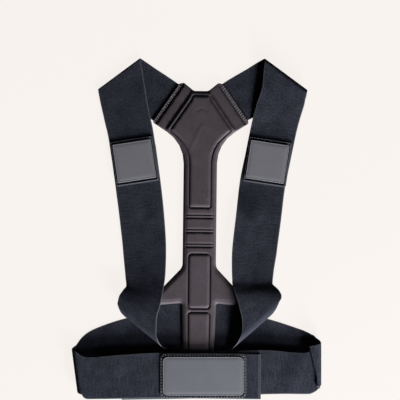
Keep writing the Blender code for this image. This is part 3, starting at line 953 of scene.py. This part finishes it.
def panel_corners():
    half = NECK_PANEL_WIDTH / 2
    shoulder_in = wing_point(PANEL_INSET, 0.36 * STRAP_WIDTH)
    arm_in = wing_point(PANEL_INSET, -0.47 * STRAP_WIDTH)
    top = [
        Corner(0.75 * half, wing_tip().y - WING_DIP - PANEL_MARGIN, CORNER),
        at(shoulder_in, CORNER),
        at(arm_in, CORNER),
        Corner(half, arm_in.y - 0.85 * (arm_in.x - half), 0.87 * UNDERARM_ROUND),
        Corner(half, PANEL_END, CORNER),
    ]
    middle = [Corner(half, MID_PANEL_TOP, 1.6 * CORNER), Corner(half, MID_PANEL_END, 1.6 * CORNER)]
    lower = [
        Corner(half, LOWER_PANEL_TOP, 1.4 * CORNER),
        Corner(0.93 * half, PANEL_MARGIN - PLATE_BELOW, CORNER),
    ]
    return [mirrored(top), mirrored(middle), mirrored(lower)]


def dense(line, step, closed=True):
    """The line's points, with more between them so that none are further apart than the step."""
    points = [Vector(p) for p in line]
    ends = points[1:] + points[:1] if closed else points[1:]
    found = []
    for a, b in zip(points, ends):
        count = max(1, ceil((b - a).length / step))
        found += [a.lerp(b, k / count) for k in range(count)]
    return np.array(found if closed else found + [points[-1]])


outline = dense(rounded(plate_corners()), OUTLINE_STEP)
panels = [dense(rounded(corners), PANEL_STEP) for corners in panel_corners()]
print("outline points:", len(outline), "panels:", len(panels))

# %% [markdown]
# Three kinds of groove cross or follow the pad: two along each wing beside its soft band, pairs
# across the neck that let it bend, and one round each panel. A groove is a line with a width and a
# depth.

# %% The grooves
Groove = namedtuple("Groove", "line width depth")
PANEL_GROOVE = 0.00085, 0.0011
WingGroove = namedtuple("WingGroove", "inward up down width depth")
WING_GROOVES = [
    WingGroove(0.23, 0.50, -0.51, 0.0010, 0.0006),
    WingGroove(0.81, 0.42, -0.53, 0.0016, 0.0006),
]
RIB_SPREAD = 0.0019
RIB_GROOVE_WIDTH = 0.0009
RIB_GROOVE_DEPTHS = 0.0007, 0.0011


def wing_line(sign, inward, up, down):
    ends = [wing_point(inward, k * STRAP_WIDTH) for k in (up, down)]
    return np.array([(sign * p.x, p.y) for p in ends])


def plate_grooves():
    found = [Groove(np.vstack([panel, panel[:1]]), *PANEL_GROOVE) for panel in panels]
    for sign in (1, -1):
        for row in WING_GROOVES:
            line = wing_line(sign, row.inward * PANEL_INSET, row.up, row.down)
            found.append(Groove(line, row.width, row.depth))
    for k in range(RIBS):
        for aside, depth in zip((RIB_SPREAD, -RIB_SPREAD), RIB_GROOVE_DEPTHS):
            y = RIB_TOP - k * RIB_PITCH + aside
            line = np.array([(-RIB_LENGTH / 2, y), (RIB_LENGTH / 2, y)])
            found.append(Groove(line, RIB_GROOVE_WIDTH, depth))
    return found


grooves = plate_grooves()
print("grooves:", len(grooves))


# %% Distances in the plane
def distance_to(points, line):
    """How far each point is from an open line."""
    a, b = line[:-1], line[1:]
    step = b - a
    reach = points[:, None] - a[None]
    t = np.clip((reach * step).sum(2) / np.maximum((step**2).sum(1), 1e-18), 0, 1)
    return np.sqrt(((reach - t[:, :, None] * step) ** 2).sum(2).min(1))


def inside(points, loop):
    a, b = loop, np.roll(loop, -1, 0)
    x, y = points[:, :1], points[:, 1:]
    crossing = (a[:, 1] > y) != (b[:, 1] > y)
    run = np.where(b[:, 1] == a[:, 1], TINY, b[:, 1] - a[:, 1])
    at_x = a[:, 0] + (y - a[:, 1]) * (b[:, 0] - a[:, 0]) / run
    return (crossing & (x < at_x)).sum(1) % 2 == 1


def looped(loop):
    return np.vstack([loop, loop[:1]])


# %% [markdown]
# The pad rolls down to its welded edge over four millimetres. Each panel swells a little inside its
# groove. Each wing steps down to a thin strip, where the strap is sewn on, with a soft band beside
# it. A few shallow wrinkles cross the top panel, as in the picture.

# %% The pad's height
RIM_PROFILE = [
    (0.0, 0.9), (0.25, 1.4), (0.6, 1.7), (1.5, 2.2), (2.6, 2.9), (3.4, 3.3), (4.0, 3.25),
    (4.5, 3.4), (5.2, 3.85), (6.0, 3.95), (8.0, 4.0),
]
PANEL_SWELL = 0.0006
PANEL_EASE = 0.0045
WING_PROFILE = [(0, 0.6), (5.0, 0.6), (6.8, 1.8), (19.0, 1.9), (22.5, 4.0), (26.0, 9.0)]
WING_REST = 0.60
THINNEST = 0.0005
# How dark the welded edge and the rim groove are: pressed cloth, with painted shade in the groove.
RIM_PRESS_AND_SHADE = 0.55
WELD = 0.0010
RIM_GROOVE = 0.0041
RIM_GROOVE_WIDTH = 0.0006
SEWN_STRIP = 0.0052
SEWN_WELD = 0.0008
SEWN_PRESS = 0.25
Band = namedtuple("Band", "inward up down swell width ease press press_width press_ease")
SOFT_BAND = Band(0.51, 0.46, -0.53, 0.5, 0.0066, 1.25, 0.05, 0.0058, 1.6)
# The groove depth at which a groove's dark line, pressed cloth and painted shade, is full.
FULL_PRESS_AND_SHADE = 0.0009
NARROW_GROOVE = 0.0010
NARROW_SPREAD, WIDE_SPREAD = 0.8, 0.72
Wrinkle = namedtuple("Wrinkle", "line width rise")
WRINKLES = [
    Wrinkle(np.array([(-0.012, 0.238), (-0.004, 0.256), (0.001, 0.266)]), 0.0026, 0.00022),
    Wrinkle(np.array([(-0.006, 0.2865), (0.002, 0.2905), (0.008, 0.2870)]), 0.0016, -0.00020),
    Wrinkle(np.array([(0.004, 0.178), (0.011, 0.170)]), 0.0014, 0.00025),
]


def smooth_step(value):
    t = np.clip(value, 0, 1)
    return t * t * (3 - 2 * t)


def wing_edge_line(sign):
    return wing_line(sign, 0.0, WING_REST, -WING_REST)


def pad_relief(points):
    """Heights over the plate's underside, and how dark each point is: pressed cloth, with painted
    shade along the grooves.
    """
    rim = distance_to(points, looped(outline))
    inset, rise = np.array(RIM_PROFILE).T / 1000
    height = np.interp(rim, inset, rise)
    press = RIM_PRESS_AND_SHADE * (1 - smooth_step(rim / WELD))
    # The dark line along the rim groove is partly pressed cloth and partly painted shade.
    press += RIM_PRESS_AND_SHADE * np.exp(-(((rim - RIM_GROOVE) / RIM_GROOVE_WIDTH) ** 2))
    for panel in panels:
        depth = distance_to(points, looped(panel)) * np.where(inside(points, panel), 1, -1)
        height += PANEL_SWELL * smooth_step(depth / PANEL_EASE)
    for sign in (1, -1):
        band = SOFT_BAND
        line = wing_line(sign, band.inward * PANEL_INSET, band.up, band.down)
        away = distance_to(points, line)
        edge = distance_to(points, wing_edge_line(sign))
        inset, rise = np.array(WING_PROFILE).T / 1000
        height = np.minimum(height, np.interp(edge, inset, rise))
        height += band.swell * PANEL_SWELL * smooth_step(band.ease - away / band.width)
        press = np.where(edge < SEWN_STRIP, SEWN_PRESS * (rim < SEWN_WELD), press)
        softly = smooth_step(band.press_ease - away / band.press_width)
        press = np.maximum(press, band.press * softly)
    for groove in grooves:
        away = distance_to(points, groove.line) / groove.width
        height -= groove.depth * np.exp(-(away**2))
        spread = NARROW_SPREAD if groove.width < NARROW_GROOVE else WIDE_SPREAD
        # Each groove gets a dark line: partly pressed cloth, partly painted shade where its shadow
        # falls.
        groove_press_and_shade = np.exp(-((spread * away) ** 2)) * np.clip(groove.depth / FULL_PRESS_AND_SHADE, 0, 1)
        press = np.maximum(press, groove_press_and_shade)
    for wrinkle in WRINKLES:
        height += wrinkle.rise * np.exp(-((distance_to(points, wrinkle.line) / wrinkle.width) ** 2))
    return np.maximum(height, THINNEST), np.clip(press, 0, 1)


# %% [markdown]
# A Delaunay triangulation turns loose points into triangles. Points are dropped in order of
# importance, first the outline, then rows beside it and along the grooves, and last a plain grid,
# and a point too close to an earlier one is left out.

# %% Points for the pad
GRID = 0.00135
ROW_PITCH = 0.87
RIM_ROWS = (0.0003, 0.0007, 0.0015, 0.0025, 0.0034, 0.0041, 0.0048)
GROOVE_ROWS = (0, 0.0005, -0.0005, 0.0011, -0.0011)
GROOVE_LEAST, RIM_LEAST, GRID_LEAST = 0.00036, 0.00042, 0.9 * GRID


def beside(line, offsets):
    """Copies of a dense line, moved sideways by each offset."""
    ahead = np.gradient(line, axis=0)
    normal = np.stack([-ahead[:, 1], ahead[:, 0]], 1)
    normal /= np.maximum(np.linalg.norm(normal, axis=1, keepdims=True), TINY)
    return np.vstack([line + normal * offset for offset in offsets])


def apart(groups, least):
    """The points in order, without those nearer than their group's least distance to one before."""
    cell = least[-1]
    kept, buckets = [], {}
    for points, nearest in zip(groups, least):
        for p in points:
            home = int(p[0] // cell), int(p[1] // cell)
            near = [
                q
                for i in (-1, 0, 1)
                for j in (-1, 0, 1)
                for q in buckets.get((home[0] + i, home[1] + j), ())
            ]
            if all(hypot(p[0] - q[0], p[1] - q[1]) >= nearest for q in near):
                kept.append((float(p[0]), float(p[1])))
                buckets.setdefault(home, []).append(kept[-1])
    return kept


def pad_points():
    rim_rows = beside(outline, [k for inset in RIM_ROWS for k in (inset, -inset)])
    lines = [dense(groove.line, OUTLINE_STEP, closed=False) for groove in grooves]
    groove_rows = np.vstack([beside(line, GROOVE_ROWS) for line in lines])
    (left, bottom), (right, top) = outline.min(0), outline.max(0)
    x, y = np.meshgrid(np.arange(left, right, GRID), np.arange(bottom, top, GRID * ROW_PITCH))
    x[1::2] += GRID / 2
    grid = np.stack([x.ravel(), y.ravel()], 1)
    groups = [outline]
    for points in (groove_rows, rim_rows, grid):
        points = points[inside(points, outline)]
        groups.append(points[distance_to(points, looped(outline)) > RIM_LEAST])
    return apart(groups, (0.0, GROOVE_LEAST, RIM_LEAST, GRID_LEAST))


flat_points = pad_points()
print("pad points:", len(flat_points))


# %% The pad itself
UNDER_EDGE = 0.0004
UNDER_EASE = 0.0012
SEWN_DIP = 0.0004
SEWN_FLAT, SEWN_EASE = 0.0050, 0.0030
UNDER_PRESS_AND_SHADE = 0.3
TOLERANCE = 1e-7


def plate_placement():
    """The plate leans so that it clears one layer at the wings and two where the straps cross."""
    high = Vector((wing_point(0, STRAP_WIDTH / 2).y, 2 * GAP + STRAP_THICKNESS))
    low = Vector((STRAP_WIDTH / 2, GAP + STRAP_THICKNESS + LAYER))
    slope = (low.y - high.y) / (high.x - low.x)
    place = Vector((SHIFT.x - PLATE_SHIFT, SHIFT.y, low.y + slope * low.x))
    lean = Euler((-atan2(slope, 1), 0, -PLATE_LEAN)).to_matrix().to_4x4()
    return Matrix.Translation(place) @ lean


PLACEMENT = plate_placement()


def pad_mesh():
    count = len(outline)
    loop = [(k, (k + 1) % count) for k in range(count)]
    found = geometry.delaunay_2d_cdt([Vector(p) for p in flat_points], loop, [], 1, TOLERANCE)
    flat, faces = np.array(found[0]), found[2]
    height, press = pad_relief(flat)
    rim = distance_to(flat, looped(outline))
    under = UNDER_EDGE * (1 - np.clip(rim / UNDER_EASE, 0, 1)) ** 2
    wings = [distance_to(flat, wing_edge_line(sign)) for sign in (1, -1)]
    under -= SEWN_DIP * (1 - smooth_step((np.minimum(*wings) - SEWN_FLAT) / SEWN_EASE))
    top = np.column_stack([flat, height])
    bottom = np.column_stack([flat, under])
    total = len(flat)
    sides = [(a, b, b + total, a + total) for a, b in loop]
    mesh = bpy.data.meshes.new("back_plate_pad")
    both = [tuple(f) for f in faces] + [tuple(v + total for v in reversed(f)) for f in faces]
    mesh.from_pydata(np.vstack([top, bottom]).tolist(), [], both + sides)
    # The attribute holds pressed darkening and painted groove shade; the underside gets a share of
    # it.
    attribute = mesh.attributes.new("Press", "FLOAT", "POINT")
    attribute.data.foreach_set("value", np.concatenate([press, UNDER_PRESS_AND_SHADE * press]))
    mesh.transform(PLACEMENT)
    facing_out(mesh)
    return mesh


pad = piece("back_plate_pad", pad_mesh(), pad_cloth, "back_plate")
print("pad faces:", len(pad.data.polygons))

# %% [markdown]
# The tabs and patches are small flat pieces with rounded corners. Each is a stack of rounded
# rectangles: a profile says how far in from the edge each one is and how high, so a bound rim, a
# valley and a flat face come from one short table.

# %% Tabs and patches from a profile
SIDE_POINTS = 10
ARC_POINTS = 6
LEAST_RADIUS = 0.0004
TOP_RINGS = (0.8, 0.6, 0.4, 0.2)


def rounded_rectangle(half_width, half_length, radius):
    """The same number of points for every size, so that one fits inside the next."""
    found = []
    for k, (sx, sy) in enumerate(((1, 1), (-1, 1), (-1, -1), (1, -1))):
        centre = Vector((sx * (half_width - radius), sy * (half_length - radius)))
        for i in range(ARC_POINTS + 1):
            angle = (k + i / ARC_POINTS) * pi / 2
            found.append(centre + radius * Vector((cos(angle), sin(angle))))
    ends = found[1:] + found[:1]
    full = []
    for i, (a, b) in enumerate(zip(found, ends)):
        steps = SIDE_POINTS if i % (ARC_POINTS + 1) == ARC_POINTS else 1
        full += [a.lerp(b, k / steps) for k in range(steps)]
    return full


def stacked(name, width, length, corner, profile, place, turn):
    """Rings of the profile's (inset, height) rows, closed below and above."""
    shape = bmesh.new()
    rings = []
    for inset, height in profile:
        radius = max(corner - inset, LEAST_RADIUS)
        ring = rounded_rectangle(width / 2 - inset, length / 2 - inset, radius)
        rings.append([shape.verts.new((p.x, p.y, height)) for p in ring])
    top = profile[-1][1]
    last = [v.co.copy() for v in rings[-1]]
    for share in TOP_RINGS:
        rings.append([shape.verts.new((p.x * share, p.y * share, top)) for p in last])
    for lower, upper in zip(rings, rings[1:]):
        for k in range(len(lower)):
            n = (k + 1) % len(lower)
            shape.faces.new((lower[k], lower[n], upper[n], upper[k]))
    shape.faces.new(rings[-1])
    shape.faces.new(reversed(rings[0]))
    mesh = bpy.data.meshes.new(name)
    shape.to_mesh(mesh)
    shape.free()
    mesh.transform(Matrix.Translation(place) @ Matrix.Rotation(turn, 4, "Z"))
    facing_out(mesh)
    return mesh


# %% [markdown]
# Stitches are the same small thing again and again, so Geometry Nodes place them: a line is cut
# into equal steps, and a rounded dash is set at each step, turned along the line. The pitch, the
# length and the thickness are named inputs.

# %% Stitches along a line
def stitch_tree(name, material):
    tree = Tree(name, {"Pitch": 0.0030, "Length": 0.0020, "Thickness": 0.0005})
    curve = tree.node("GeometryNodeMeshToCurve", values={"Mesh": tree.given.outputs[0]})
    steps = tree.node("GeometryNodeResampleCurve", {"mode": "LENGTH"}, {"Curve": curve.outputs[0]})
    tree.group.links.new(tree.given.outputs["Pitch"], steps.inputs["Length"])
    points = tree.node(
        "GeometryNodeCurveToPoints", {"mode": "EVALUATED"}, {"Curve": steps.outputs[0]}
    )
    ball = tree.node("GeometryNodeMeshUVSphere", values={"Segments": 8, "Rings": 5, "Radius": 0.5})
    size = tree.node("ShaderNodeCombineXYZ")
    tree.group.links.new(tree.given.outputs["Length"], size.inputs[2])
    for k in (0, 1):
        tree.group.links.new(tree.given.outputs["Thickness"], size.inputs[k])
    values = {
        "Points": points.outputs["Points"],
        "Instance": ball.outputs[0],
        "Rotation": points.outputs["Rotation"],
        "Scale": size.outputs[0],
    }
    placed = tree.node("GeometryNodeInstanceOnPoints", values=values)
    return tree.end(placed.outputs[0], material)


pale_stitches = stitch_tree("pale stitches", grey_thread)
dark_stitches = stitch_tree("dark stitches", dark_thread)

# %% [markdown]
# A label tab is a square of black twill whose edge is bound: the rim stands up as a soft bead, with
# pale piping along it and dark stitches inside it. A bare grey patch lies on the tab.

# %% The label tabs
TAB_PROFILE = [
    (0.0004, 0.00000), (0.0000, 0.00015), (0.0003, 0.00040), (0.0008, 0.00040), (0.0011, 0.00085),
    (0.0015, 0.00115), (0.0021, 0.00115), (0.0025, 0.00090), (0.0028, 0.00060), (0.0060, 0.00060),
]
PATCH_PROFILE = [
    (0.0004, 0.0000), (0.0000, 0.0003), (0.0001, 0.0006), (0.0005, 0.0008), (0.0010, 0.0008),
    (0.0013, 0.00066), (0.0017, 0.00066), (0.0021, 0.00074), (0.0060, 0.00078),
]
Trim = namedtuple("Trim", "inset height")
LABEL_PIPING = Trim(0.0018, 0.0009)
LABEL_STITCHES = Trim(0.0029, 0.0007)
LABEL_PIPING_RADIUS = 0.00050
LABEL_PATCH = LABEL_WIDTH - 1.65 * LABEL_RIM, LABEL_LENGTH - 2.45 * LABEL_RIM


def ring_line(width, length, corner, trim, place, turn):
    """A closed line along a rounded rectangle, for piping and stitches."""
    inset, height = trim
    radius = max(corner - inset, LEAST_RADIUS)
    ring = rounded_rectangle(width / 2 - inset, length / 2 - inset, radius)
    move = Matrix.Translation(place) @ Matrix.Rotation(turn, 4, "Z")
    return [move @ Vector((p.x, p.y, height)) for p in [*ring, ring[0]]]


def label(word, sign):
    node = word + "_label_tab"
    place = middle_of(node)
    place.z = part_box(node)[0][2]
    turn = -sign * LABEL_TURN
    size = LABEL_WIDTH, LABEL_LENGTH
    piece(node + "_cloth", stacked(node, *size, CORNER, TAB_PROFILE, place, turn), twill, node)
    raised = place + Vector((0, 0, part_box(word + "_label")[0][2] - place.z))
    mesh = stacked(word + "_patch", *LABEL_PATCH, CORNER / 2, PATCH_PROFILE, raised, turn)
    piece(word + "_label_face", mesh, label_face, word + "_label")
    line = ring_line(*size, CORNER, LABEL_PIPING, place, turn)
    mesh = cords.made(word + " label piping", [line], {"Radius": LABEL_PIPING_RADIUS})
    piece(word + "_label_piping", mesh, edge_yarn)
    line = ring_line(*size, CORNER, LABEL_STITCHES, place, turn)
    values = {"Pitch": 0.0027, "Length": 0.0019, "Thickness": 0.00042}
    mesh = dark_stitches.made(word + " label stitches", [line], values)
    piece(word + "_label_stitches", mesh, dark_thread)


for word, sign in (("left", -1), ("right", 1)):
    label(word, sign)

# %% [markdown]
# The closing panel is sewn to the left front half. It has a lower, wider rim than the labels, with
# a dotted row of stitches, and a grey patch with rounder corners.

# %% The closing panel
PANEL_PROFILE = [
    (0.0004, 0.0000), (0.0000, 0.0004), (0.0004, 0.0008), (0.0011, 0.0008), (0.0015, 0.0010),
    (0.0020, 0.0011), (0.0026, 0.0010), (0.0030, 0.0009), (0.0060, 0.0008),
]
PANEL_SIZE = CLOSURE_LENGTH, 0.99 * STRAP_WIDTH
PANEL_CORNER = 1.5 * CLOSURE_CORNER
PANEL_PATCH = PANEL_SIZE[0] - 1.6 * CLOSURE_RIM, PANEL_SIZE[1] - 2 * CLOSURE_RIM
PATCH_CORNER = 1.45 * CLOSURE_CORNER
PANEL_PIPING = Trim(0.0004, 0.0006)
PANEL_STITCHES = Trim(0.0018, 0.0012)
PANEL_PIPING_RADIUS = 0.00040


def closing_panel():
    place = middle_of("closure_tab")
    place.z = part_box("closure_tab")[0][2]
    mesh = stacked("closure_cloth", *PANEL_SIZE, PANEL_CORNER, PANEL_PROFILE, place, 0)
    piece("closure_tab_cloth", mesh, twill, "closure_tab")
    raised = middle_of("belt_patch")
    raised.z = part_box("belt_patch")[0][2]
    mesh = stacked("belt_patch_face", *PANEL_PATCH, PATCH_CORNER, PATCH_PROFILE, raised, 0)
    piece("belt_patch_face", mesh, patch_face, "belt_patch")
    line = ring_line(*PANEL_SIZE, PANEL_CORNER, PANEL_PIPING, place, 0)
    mesh = cords.made("closure piping", [line], {"Radius": PANEL_PIPING_RADIUS})
    piece("closure_piping", mesh, edge_yarn)
    line = ring_line(*PANEL_SIZE, PANEL_CORNER, PANEL_STITCHES, place, 0)
    values = {"Pitch": 0.0040, "Length": 0.0018, "Thickness": 0.00095}
    mesh = pale_stitches.made("closure stitches", [line], values)
    piece("closure_stitches", mesh, grey_thread)


closing_panel()

# %% [markdown]
# Two more rows of stitching show: a pair along each wing, which sews the strap under the plate, and
# one across the end of the left front half.

# %% Stitches on the wings and at the hem
SEAM_STEP = 0.0020
SEAM_ROWS = (0.0016, 0.0036)
SEAM_ENDS = (0.45, -0.50)
HEM_CORD_IN = 0.0003
HEM_STITCHES_IN = 0.0024


def on_pad(line):
    """Points of a flat line, set on the pad's surface."""
    points = dense(line, SEAM_STEP, closed=False)
    height, _ = pad_relief(points)
    return [PLACEMENT @ Vector((*p, z)) for p, z in zip(points, height)]


def wing_stitches():
    rows = [(sign, inward) for sign in (1, -1) for inward in SEAM_ROWS]
    lines = [on_pad(wing_line(sign, inward, *SEAM_ENDS)) for sign, inward in rows]
    values = {"Pitch": 0.0032, "Length": 0.0024, "Thickness": 0.00075}
    mesh = pale_stitches.made("wing stitches", lines, values)
    piece("wing_stitches", mesh, grey_thread)


def hem():
    """The cut end of the left front half is whipped with yarn and stitched across."""
    end = left_belt_points[-1]
    step = (end - left_belt_points[-3])[len(end) // 2]
    inward = -step / np.linalg.norm(step)
    lift = np.array((0, 0, CLOTH / 2))
    mesh = cords.made("hem cord", [end[1:-1] + inward * HEM_CORD_IN], {"Radius": EDGE_CORD})
    piece("hem_cord", mesh, edge_yarn)
    line = [p + inward * HEM_STITCHES_IN + lift for p in end[3:-3]]
    values = {"Pitch": 0.0024, "Length": 0.0014, "Thickness": 0.00060}
    mesh = pale_stitches.made("hem stitches", [line], values)
    piece("hem_stitches", mesh, grey_thread)


wing_stitches()
hem()

# %% [markdown]
# The set is a plain pale table. The picture was taken from straight above, so the camera looks
# down, far away and with a long lens, which keeps the straps' sizes true at every height. Two low
# lights come from the lower right, and a faint sky fills the rest. The table glows as bright as
# studio paper for the camera, but dims its glow for the cloth, so that the folds keep their shade.

# %% The table, the lights and the camera
TABLE = 6.0
PHOTO_MIDDLE = Vector((0.0047, 0.0384))
PHOTO_WIDTH = 0.5333
LENS = 200
SENSOR = 36
TABLE_COLOUR = (0.038, 0.0365, 0.035, 1)
TABLE_GLOW = (1.000, 0.955, 0.918, 1)
GLOW = 0.897
GLOW_ON_CLOTH = 0.30
FLECK = 0.995
FAR = 20


def table():
    shader = Shader("pale table", 0.9, 0.05)
    place = shader.node("ShaderNodeTexCoord", output=3)
    grain = shader.noise(place, 900.0, 2.0)
    colour = shader.mix(grain, TABLE_COLOUR, scaled(TABLE_COLOUR, FLECK))
    seen = shader.node("ShaderNodeLightPath")
    glow = shader.mix(seen, scaled(TABLE_GLOW, GLOW_ON_CLOTH), TABLE_GLOW)
    shader.feed(shader.surface.inputs["Emission Color"], glow)
    shader.surface.inputs["Emission Strength"].default_value = GLOW
    mesh = bpy.data.meshes.new("table")
    half = TABLE / 2
    corners = [(-half, -half, 0), (half, -half, 0), (half, half, 0), (-half, half, 0)]
    mesh.from_pydata(corners, [], [(0, 1, 2, 3)])
    mesh.materials.append(shader.finish(colour, grain, 0.00002, 0.2))
    made = bpy.data.objects.new("floor", mesh)
    bpy.context.scene.collection.objects.link(made)


def softbox(name, azimuth, elevation, distance, size, power):
    """A square area light that looks at the middle of the part."""
    light = bpy.data.lights.new(name, "AREA")
    light.size = size
    light.energy = power
    made = bpy.data.objects.new(name, light)
    level, turn = radians(elevation), radians(azimuth)
    towards = Vector((cos(turn) * cos(level), sin(turn) * cos(level), sin(level)))
    made.location = towards * distance
    made.rotation_euler = towards.to_track_quat("Z", "Y").to_euler()
    bpy.context.scene.collection.objects.link(made)


def camera():
    data = bpy.data.cameras.new("camera")
    data.lens = LENS
    data.sensor_width = SENSOR
    data.clip_end = FAR
    made = bpy.data.objects.new("camera", data)
    height = PHOTO_WIDTH * LENS / SENSOR
    made.location = (*PHOTO_MIDDLE, height)
    bpy.context.scene.collection.objects.link(made)
    bpy.context.scene.camera = made
    print("camera height", round(height, 3), "m")


def sky(strength):
    world = bpy.data.worlds.new("sky")
    world.use_nodes = True
    world.node_tree.nodes["Background"].inputs["Color"].default_value = (1, 1, 1, 1)
    world.node_tree.nodes["Background"].inputs["Strength"].default_value = strength
    bpy.context.scene.world = world


table()
softbox("key", azimuth=-65, elevation=15, distance=2.0, size=0.55, power=139)
softbox("side", azimuth=-42, elevation=27, distance=2.0, size=0.55, power=20)
sky(strength=0.028)
camera()
bpy.context.scene.view_settings.view_transform = "Standard"
